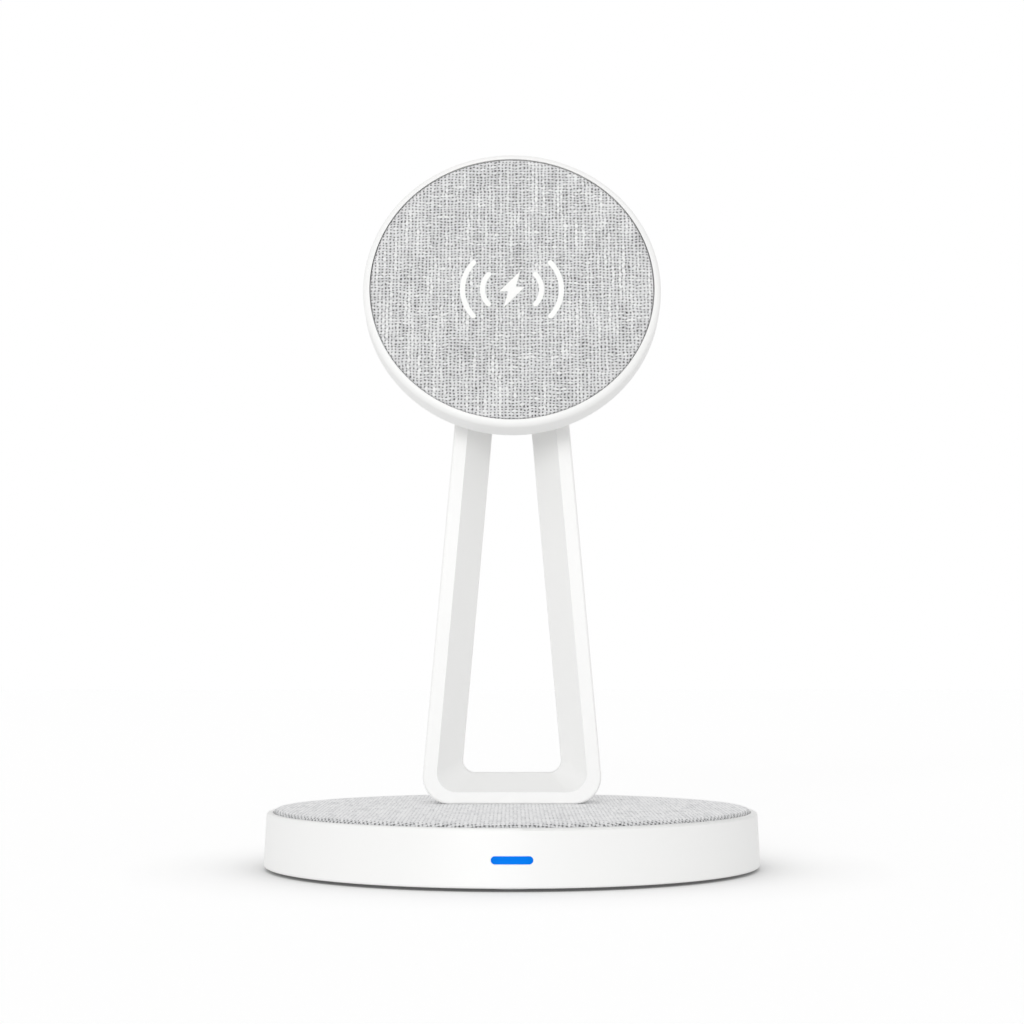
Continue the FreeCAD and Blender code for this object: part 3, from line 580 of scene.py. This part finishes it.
def cloth_tree(weave: PlainWeave) -> bpy.types.NodeTree:
    """Builds the tree for a round woven cloth, stretched over a disc and turned down round its edge.

    Args:
        weave: How the cloth is woven.

    Returns:
        The tree. Its cloth is cut flat, woven, notched and bent, in that order, about the origin.
    """
    size = "NodeSocketFloat"
    tree, given = new_tree("round_woven_cloth", {
        "Cut Radius": size, "Face Radius": size, "Edge Round": size, "Relief": size,
        "Points": "NodeSocketInt", "Notch Half Width": size, "Notch Half Depth": size,
        "Notch Centre": size, "Tuck": size, "Material": "NodeSocketMaterial",
    })
    value = given.outputs
    width = add_node(tree, MATH, [value["Cut Radius"], 2.0], operation="MULTIPLY")
    grid = add_node(tree, "GeometryNodeMeshGrid", {
        "Size X": width, "Size Y": width, "Vertices X": value["Points"], "Vertices Y": value["Points"],
    })
    place = add_node(tree, "GeometryNodeInputPosition")
    flat = add_node(tree, "ShaderNodeSeparateXYZ", [place])
    across, along = flat.outputs["X"], flat.outputs["Y"]

    # The notch that the stand passes through
    side = add_node(tree, MATH, [across], operation="ABSOLUTE")
    inside_x = add_node(tree, MATH, [value["Notch Half Width"], side], operation="SUBTRACT")
    behind = add_node(tree, MATH, [along, value["Notch Centre"]], operation="SUBTRACT")
    depth = add_node(tree, MATH, [behind], operation="ABSOLUTE")
    inside_y = add_node(tree, MATH, [value["Notch Half Depth"], depth], operation="SUBTRACT")
    inside = add_node(tree, MATH, [inside_x, inside_y], operation="MINIMUM")
    in_notch = add_node(tree, MATH, [inside, 0.0], operation="GREATER_THAN")
    radius = add_node(tree, VECTOR, [place], operation="LENGTH")
    radius = radius.outputs["Value"]
    outside = add_node(tree, MATH, [radius, value["Cut Radius"]], operation="GREATER_THAN")
    waste = add_node(tree, MATH, [in_notch, outside], operation="MAXIMUM")
    cut = add_node(tree, "GeometryNodeDeleteGeometry", [grid, waste], domain="FACE")

    # Points left inside the notch go out to its edge, and points past the cut go back to it
    sign_x = add_node(tree, MATH, [across], operation="SIGN")
    sign_y = add_node(tree, MATH, [behind], operation="SIGN")
    nearer_x = add_node(tree, MATH, [inside_x, inside_y], operation="LESS_THAN")
    push_x = add_node(tree, MATH, [in_notch, nearer_x], operation="MULTIPLY")
    push_y = add_node(tree, MATH, [in_notch, push_x], operation="SUBTRACT")
    step_x = add_node(tree, MATH, [sign_x, inside_x], operation="MULTIPLY")
    step_y = add_node(tree, MATH, [sign_y, inside_y], operation="MULTIPLY")
    trimmed_x = add_node(tree, MATH, [step_x, push_x, across], operation="MULTIPLY_ADD")
    trimmed_y = add_node(tree, MATH, [step_y, push_y, along], operation="MULTIPLY_ADD")
    safe = add_node(tree, MATH, [radius, TINY], operation="MAXIMUM")
    kept = add_node(tree, MATH, [radius, value["Cut Radius"]], operation="MINIMUM")
    shrink = add_node(tree, MATH, [kept, safe], operation="DIVIDE")
    u = add_node(tree, MATH, [trimmed_x, shrink], operation="MULTIPLY")
    v = add_node(tree, MATH, [trimmed_y, shrink], operation="MULTIPLY")
    pattern = []
    for length in (u, v):
        on_map = [length, 1 / CLOTH_UV_SPAN, CLOTH_UV_MIDDLE]
        pattern.append(add_node(tree, MATH, on_map, operation="MULTIPLY_ADD"))
    cloth_uv = add_node(tree, "ShaderNodeCombineXYZ", pattern)
    marked = add_node(tree, "GeometryNodeStoreNamedAttribute", {
        "Geometry": cut, "Name": CLOTH_UV, "Value": cloth_uv,
    }, data_type="FLOAT2", domain="CORNER")

    # The threads' relief
    raised = add_node(tree, MATH, [weave.add(tree, cloth_uv)["relief"], 1.0], operation="SUBTRACT")
    raised = add_node(tree, MATH, [raised, value["Relief"]], operation="MULTIPLY")

    # The bend over the edge: round, then straight down
    past = add_node(tree, MATH, [kept, value["Face Radius"]], operation="SUBTRACT")
    past = add_node(tree, MATH, [past, 0.0], operation="MAXIMUM")
    angle = add_node(tree, MATH, [past, value["Edge Round"]], operation="DIVIDE")
    angle = add_node(tree, MATH, [angle, math.pi / 2], operation="MINIMUM")
    sine = add_node(tree, MATH, [angle], operation="SINE")
    cosine = add_node(tree, MATH, [angle], operation="COSINE")
    arc = add_node(tree, MATH, [value["Edge Round"], angle], operation="MULTIPLY")
    straight = add_node(tree, MATH, [past, arc], operation="SUBTRACT")
    level = add_node(tree, MATH, [kept, value["Face Radius"]], operation="MINIMUM")
    out = add_node(tree, MATH, [value["Edge Round"], raised], operation="ADD")
    bent_radius = add_node(tree, MATH, [sine, out, level], operation="MULTIPLY_ADD")
    rise = add_node(tree, MATH, [cosine, out], operation="MULTIPLY")
    rise = add_node(tree, MATH, [rise, value["Edge Round"]], operation="SUBTRACT")
    rise = add_node(tree, MATH, [rise, straight], operation="SUBTRACT")
    tucked = add_node(tree, MATH, [in_notch, value["Tuck"]], operation="MULTIPLY")
    rise = add_node(tree, MATH, [rise, tucked], operation="SUBTRACT")
    spread = add_node(tree, MATH, [bent_radius, safe], operation="DIVIDE")
    spot = add_node(tree, "ShaderNodeCombineXYZ", [
        add_node(tree, MATH, [trimmed_x, spread], operation="MULTIPLY"),
        add_node(tree, MATH, [trimmed_y, spread], operation="MULTIPLY"),
        rise,
    ])
    marked = add_node(tree, "GeometryNodeStoreNamedAttribute", {
        "Geometry": marked, "Name": CLOTH_TURN, "Value": sine,
    }, data_type="FLOAT", domain="POINT")
    shaped = add_node(tree, "GeometryNodeSetPosition", {"Geometry": marked, "Position": spot})
    close_tree(tree, shaped, value["Material"])
    return tree


@dataclass
class RoundCloth:
    """A round piece of woven cloth over a disc: its sizes, in millimetres, and where it lies."""

    name: str
    body: Body
    node: str
    rests_on: str
    radius: float  # outside, over the turned edge
    edge_round: float
    drop: float  # from the face down to the cut edge
    samples: int  # mesh points for each thread
    placement: Matrix
    finish: WovenHeather
    notch: tuple[float, float, float] = (-1.0, -1.0, 0.0)  # half width, half depth, centre
    relief: float = 0.12  # from a hole to a crest
    tuck: float = 0.5

    @property
    def face_radius(self) -> float:
        """Radius of the flat face inside the turned edge."""
        return self.radius - self.edge_round

    @property
    def cut_radius(self) -> float:
        """Radius that the cloth is cut to before it is turned down."""
        return self.face_radius + self.edge_round * math.pi / 2 + self.drop - self.edge_round

    def build(self) -> bpy.types.Object:
        """Returns:
            The finished piece.
        """
        mesh = grown_mesh(self.name, cloth_tree(self.finish.weave), {
            "Cut Radius": self.cut_radius * MM, "Face Radius": self.face_radius * MM,
            "Edge Round": self.edge_round * MM, "Relief": self.relief * MM,
            "Points": round(2 * self.cut_radius / self.finish.weave.weft_mm * self.samples) + 1,
            "Notch Half Width": self.notch[0] * MM,
            "Notch Half Depth": self.notch[1] * MM, "Notch Centre": self.notch[2] * MM,
            "Tuck": self.tuck * MM, "Material": self.finish.build(),
        })
        mesh.transform(self.placement)
        piece = mesh_object(self.name, mesh)
        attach(piece, self.body.value)
        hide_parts(self.node)
        area = math.pi * (self.cut_radius * MM) ** 2
        if self.notch[0] > 0:
            area -= 4 * self.notch[0] * self.notch[1] * MM * MM
        LOG.info("%s: cut %.1f mm across", self.name, 2 * self.cut_radius)
        return piece


@dataclass
class ChargingSign:
    """Printed sign on the head: a bolt between two pairs of arcs, as one thin film of white ink."""

    stroke: float = 1.08  # millimetres, as all sizes here
    arc_radii: tuple[float, float] = (5.1, 9.2)
    arc_offset: float = 1.0  # the arcs' centre from the sign's middle, towards their own side
    arc_half_angle: float = 41.0
    bolt_tip: tuple[float, float] = (1.7, 4.1)
    bolt_wing: tuple[float, float] = (-2.65, -0.5)
    bolt_notch: tuple[float, float] = (-0.8, -0.5)
    drop: float = 0.65  # from the face's middle down to the sign's
    thickness: float = 0.05
    arc_steps: int = 24
    end_steps: int = 8

    def end_cap(self, radius: float, at: float, start: float) -> list[tuple[float, float]]:
        """Half circle round one end of an arc.

        Args:
            radius: Radius of the arc's middle line.
            at: Angle of the arc's end.
            start: Direction in which the half circle starts.

        Returns:
            Points in order, without the two that the arc's own edges give.
        """
        turns = [start + math.pi * i / self.end_steps for i in range(1, self.end_steps)]
        middle = (radius * math.cos(at), radius * math.sin(at))
        reach = self.stroke / 2
        return [(middle[0] + reach * math.cos(t), middle[1] + reach * math.sin(t)) for t in turns]

    def arc_outline(self, radius: float, side: int) -> list[tuple[float, float]]:
        """Outline of one arc of even width with round ends.

        Args:
            radius: Radius of its middle line.
            side: -1 for the left side, 1 for the right.

        Returns:
            Points in order round the outline.
        """
        half = math.radians(self.arc_half_angle)
        turns = [half * (2 * i / self.arc_steps - 1) for i in range(self.arc_steps + 1)]
        outer, inner = radius + self.stroke / 2, radius - self.stroke / 2
        points = [(outer * math.cos(t), outer * math.sin(t)) for t in turns]
        points += self.end_cap(radius, half, half)
        points += [(inner * math.cos(t), inner * math.sin(t)) for t in reversed(turns)]
        points += self.end_cap(radius, -half, math.pi - half)
        return [(side * (x + self.arc_offset), y) for x, y in points]

    def outlines(self) -> list[list[tuple[float, float]]]:
        """All outlines of the sign: the bolt, which is the same turned half round, and the arcs.

        Returns:
            One list of points for each outline.
        """
        half_bolt = [self.bolt_tip, self.bolt_wing, self.bolt_notch]
        bolt = half_bolt + [(-x, -y) for x, y in half_bolt]
        arcs = [self.arc_outline(radius, side) for radius in self.arc_radii for side in (-1, 1)]
        return [bolt] + arcs

    def build(self, placement: Matrix, material: bpy.types.Material) -> bpy.types.Object:
        """Prints the sign on the head's fabric.

        Args:
            placement: Where the face's middle lies, with its normal along Z.
            material: The ink's finish.

        Returns:
            The finished piece.
        """
        film = bmesh.new()
        for outline in self.outlines():
            corners = [film.verts.new((x * MM, (y - self.drop) * MM, 0)) for x, y in outline]
            film.faces.new(corners)
        bmesh.ops.recalc_face_normals(film, faces=film.faces)
        for face in film.faces:
            if face.normal.z < 0:
                face.normal_flip()
        grown = bmesh.ops.extrude_face_region(film, geom=film.faces[:])
        top = [item for item in grown["geom"] if isinstance(item, bmesh.types.BMVert)]
        bmesh.ops.translate(film, verts=top, vec=(0, 0, self.thickness * MM))
        bmesh.ops.recalc_face_normals(film, faces=film.faces)
        bmesh.ops.triangulate(film, faces=film.faces)
        mesh = bpy.data.meshes.new("charging_sign")
        film.to_mesh(mesh)
        film.free()
        mesh.transform(placement)
        mesh.materials.append(material)
        piece = mesh_object("charging_sign", mesh)
        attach(piece, Body.HEAD.value)
        LOG.info("charging_sign: printed on the head")
        return piece


def contact_tree() -> bpy.types.NodeTree:
    """Builds the tree for a row of contact strips on both sides of the socket's tongue.

    Returns:
        The tree. The strips lie about the origin, side by side along X.
    """
    size = "NodeSocketFloat"
    tree, given = new_tree("contact_strips", {
        "Count": "NodeSocketInt", "Pitch": size, "Strip": "NodeSocketVector", "Tongue": size,
        "Material": "NodeSocketMaterial",
    })
    value = given.outputs
    strip = add_node(tree, "GeometryNodeMeshCube", {"Size": value["Strip"]})
    rows = []
    for side in (-0.5, 0.5):
        level = add_node(tree, MATH, [value["Tongue"], side], operation="MULTIPLY")
        gaps = add_node(tree, MATH, [value["Count"], -1.0], operation="ADD")
        span = add_node(tree, MATH, [gaps, value["Pitch"]], operation="MULTIPLY")
        left = add_node(tree, MATH, [span, -0.5], operation="MULTIPLY")
        start = add_node(tree, "ShaderNodeCombineXYZ", [left, 0.0, level])
        pitch = add_node(tree, "ShaderNodeCombineXYZ", [value["Pitch"], 0.0, 0.0])
        line = add_node(tree, "GeometryNodeMeshLine", {
            "Count": value["Count"], "Start Location": start, "Offset": pitch,
        })
        rows.append(add_node(tree, "GeometryNodeInstanceOnPoints", {"Points": line, "Instance": strip}))
    both = add_node(tree, "GeometryNodeJoinGeometry")
    for row in rows:
        tree.links.new(row.outputs[0], both.inputs[0])
    close_tree(tree, both, value["Material"])
    return tree


@dataclass
class BaseUnit:
    """Round base: its pad's fabric and the contacts in its charging socket. Sizes in millimetres."""

    edge_round: float = 0.9
    notch_half_width: float = 13.85  # the stand's tenon passes through here
    notch_front: float = 9.65
    notch_back: float = 19.65
    contact_count: int = 12
    contact_pitch: float = 0.5
    contact_strip: tuple[float, float, float] = (0.28, 3.4, 0.06)
    pad_samples: int = 2  # mesh points for each thread
    pad_relief: float = 0.06

    def pad(self) -> RoundCloth:
        """The pad's cloth, notched where the stand's tenon passes through.

        Returns:
            The cloth, not yet woven.
        """
        low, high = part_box("base_fabric")
        return RoundCloth(
            name="base_pad_cloth",
            body=Body.BASE,
            node="base_fabric",
            rests_on="base_pad_board",
            radius=(high.x - low.x) / 2 / MM,
            edge_round=self.edge_round,
            drop=(high.z - low.z) / MM,
            samples=self.pad_samples,
            placement=Matrix.Translation((0, 0, high.z)),
            finish=PAD_HEATHER_PAINTED_LIGHT,
            notch=(
                self.notch_half_width,
                (self.notch_back - self.notch_front) / 2,
                (self.notch_back + self.notch_front) / 2,
            ),
            relief=self.pad_relief,
        )

    def contacts(self, material: bpy.types.Material) -> bpy.types.Object:
        """Gold contact strips on the socket's tongue.

        Args:
            material: The contacts' finish.

        Returns:
            The finished piece.
        """
        low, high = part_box("usb_tongue")
        mesh = grown_mesh("usb_contacts", contact_tree(), {
            "Count": self.contact_count, "Pitch": self.contact_pitch * MM,
            "Strip": Vector(self.contact_strip) * MM, "Tongue": high.z - low.z, "Material": material,
        })
        mesh.transform(Matrix.Translation((low + high) / 2))
        piece = mesh_object("usb_contacts", mesh)
        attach(piece, Body.BASE.value)
        LOG.info("usb_contacts: %d each side", self.contact_count)
        return piece


@dataclass
class PhoneHead:
    """Round head: the fabric on its face and the printed sign. Sizes in millimetres."""

    edge_round: float = 0.35
    thickness: float = 0.6
    samples: int = 4  # mesh points for each thread

    @staticmethod
    def placement() -> Matrix:
        """Where the face's middle lies: X to the right, Y up the face, Z out of it.

        Returns:
            The placement, in metres.
        """
        face = next(m for m in frame["record"]["mounts"] if m["name"] == "phone_face")
        out = Vector(face["axis"]).normalized()
        right = Vector((1, 0, 0))
        up = out.cross(right)
        turn = Matrix((right, up, out)).transposed().to_4x4()
        return Matrix.Translation(Vector(face["pos_m"])) @ turn

    def cloth(self) -> RoundCloth:
        """The face's cloth.

        Returns:
            The cloth, not yet woven.
        """
        low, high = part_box("head_fabric")
        return RoundCloth(
            name="head_face_cloth",
            body=Body.HEAD,
            node="head_fabric",
            rests_on="head_face_plate",
            radius=(high.x - low.x) / 2 / MM,
            edge_round=self.edge_round,
            drop=self.thickness,
            samples=self.samples,
            placement=self.placement(),
            finish=WovenHeather(),
        )


def seen_rays(tree: bpy.types.NodeTree) -> bpy.types.Node:
    """Adds nodes that tell what is seen, directly or in a gloss or glass, from what only gives light.

    Args:
        tree: The tree of the world or of a backdrop's material.

    Returns:
        The node that is one for what is seen and zero for the rest.
    """
    rays = add_node(tree, "ShaderNodeLightPath").outputs
    seen = add_node(tree, MATH, [rays["Is Camera Ray"], rays["Is Glossy Ray"]], operation="MAXIMUM")
    return add_node(tree, MATH, [seen, rays["Is Transmission Ray"]], operation="MAXIMUM")


@dataclass
class Studio:
    """White sweep, soft light all round with a broad low key, and the camera. Metres."""

    camera_distance: float = 0.419
    camera_height: float = 0.0382
    camera_pitch: float = 4.63  # degrees up
    focal_pixels: float = 2045.0  # in a square frame of the width below
    frame_pixels: float = 1024.0
    sensor: float = 36.0  # millimetres
    nearest: float = 0.01  # what the camera takes in
    furthest: float = 50.0
    zenith: float = 0.67  # brightness of the dome overhead
    horizon: float = 0.88  # and at the horizon
    key: float = 1.23  # watts to the square metre, from a broad low light beside the camera
    key_turn: float = -12.0  # degrees round from the camera, where minus is to its left
    key_rise: float = 4.0  # degrees above the horizon
    key_spread: float = 28.0  # degrees across the light
    paper: float = 0.86  # share of the light that the paper throws back
    paper_seen: float = 1.15  # so that the lit paper shows as white
    paper_glow: float = 0.1  # light that the paper itself lets through
    floor_half: float = 6.0  # from the floor's middle to a side
    painted_shadow_reach: float = 0.03  # how far the painted contact shadow reaches round the object on the paper
    painted_shadow_depth: float = 0.65  # power that the open share of the sky is raised to there, which sets how dark the painted shadow is

    def camera(self) -> bpy.types.Object:
        """Makes the scene's camera, level across and pitched up a little.

        Returns:
            The camera.
        """
        data = bpy.data.cameras.new("camera")
        data.sensor_width = self.sensor
        data.lens = self.sensor * self.focal_pixels / self.frame_pixels
        data.clip_start, data.clip_end = self.nearest, self.furthest
        camera = bpy.data.objects.new("camera", data)
        bpy.context.scene.collection.objects.link(camera)
        camera.location = (0, -self.camera_distance, self.camera_height)
        camera.rotation_euler = (math.radians(90 + self.camera_pitch), 0, 0)
        bpy.context.scene.camera = camera
        return camera

    def world(self) -> None:
        """A dome that is white to the eye and in reflections, and lights the object softly all round."""
        world = bpy.data.worlds.new("white_studio")
        world.use_nodes = True
        tree = world.node_tree
        tree.nodes.clear()
        seen = seen_rays(tree)
        axes = add_node(tree, "ShaderNodeSeparateXYZ", [add_node(tree, "ShaderNodeTexCoord")])
        dome = add_node(tree, SPAN, {
            "Value": axes.outputs["Z"], "To Min": self.horizon, "To Max": self.zenith,
        })
        level = add_node(tree, MIX, {FACTOR: seen, FLOAT_A: dome, FLOAT_B: 1.0})
        sky = add_node(tree, "ShaderNodeBackground", {"Color": WHITE, "Strength": level})
        add_node(tree, "ShaderNodeOutputWorld", [sky])
        bpy.context.scene.world = world

    def key_light(self) -> bpy.types.Object:
        """A broad light beside the camera, so low that it hardly reaches the floor.

        Returns:
            The light.
        """
        data = bpy.data.lights.new("key", "SUN")
        data.energy = self.key
        data.angle = math.radians(self.key_spread)
        light = bpy.data.objects.new("key", data)
        bpy.context.scene.collection.objects.link(light)
        light.rotation_euler = (math.radians(90 - self.key_rise), 0, math.radians(self.key_turn))
        return light

    def floor(self) -> bpy.types.Object:
        """A wide floor of white paper that keeps the object's shadow, with a painted contact shadow from
        ambient occlusion where it is seen.

        Returns:
            The floor.
        """
        material, tree, output = new_material("white_paper_sweep")
        # Painted contact shadow: ambient occlusion darkens the seen paper round the object
        near = add_node(tree, "ShaderNodeAmbientOcclusion", {"Distance": self.painted_shadow_reach})
        near = add_node(tree, MATH, [near.outputs["AO"], self.painted_shadow_depth], operation="POWER")
        near = add_node(tree, MATH, [near, self.paper_seen], operation="MULTIPLY")
        white = add_node(tree, MIX, {FACTOR: seen_rays(tree), FLOAT_A: self.paper, FLOAT_B: near})
        surface = add_node(tree, SHADER, {
            "Base Color": white, "Roughness": 1.0, "Specular IOR Level": 0.0,
            "Emission Color": WHITE, "Emission Strength": self.paper_glow,
        })
        link_surface(tree, surface, output)
        mesh = bpy.data.meshes.new("floor")
        reach = self.floor_half
        corners = [(-reach, -reach, 0), (reach, -reach, 0), (reach, reach, 0), (-reach, reach, 0)]
        mesh.from_pydata(corners, [], [(0, 1, 2, 3)])
        mesh.materials.append(material)
        floor = mesh_object("floor", mesh)
        return floor

    def build(self) -> None:
        """Sets up the camera, the floor and all the light."""
        bpy.context.scene.view_settings.view_transform = "Standard"
        self.camera()
        self.world()
        self.key_light()
        self.floor()
        LOG.info("studio: ready")


def dress_cad_nodes(materials: dict[Slot, bpy.types.Material]) -> None:
    """Gives each CAD piece the finish of its material slot.

    Args:
        materials: The built finishes.
    """
    for row in frame["record"]["subparts"]:
        piece = frame["nodes"][row["node"]]
        finish = materials[Slot(row["material_slot"])]
        if not piece.material_slots:
            piece.data.materials.append(finish)
        for slot in piece.material_slots:
            slot.material = finish
        LOG.info("%s: %s", row["node"], finish.name)


def main() -> None:
    """Builds the sub-assemblies in order."""
    logging.basicConfig(level=logging.INFO, format="%(name)s %(message)s")
    materials = {slot: finish.build() for slot, finish in FINISHES.items()}
    ink, gold = SCREEN_INK.build(), GOLD_FLASH.build()
    dress_cad_nodes(materials)
    base, head = BaseUnit(), PhoneHead()
    base.pad().build()
    base.contacts(gold)
    head.cloth().build()
    ChargingSign().build(head.placement(), ink)
    Studio().build()


if __name__ == "__main__":
    main()
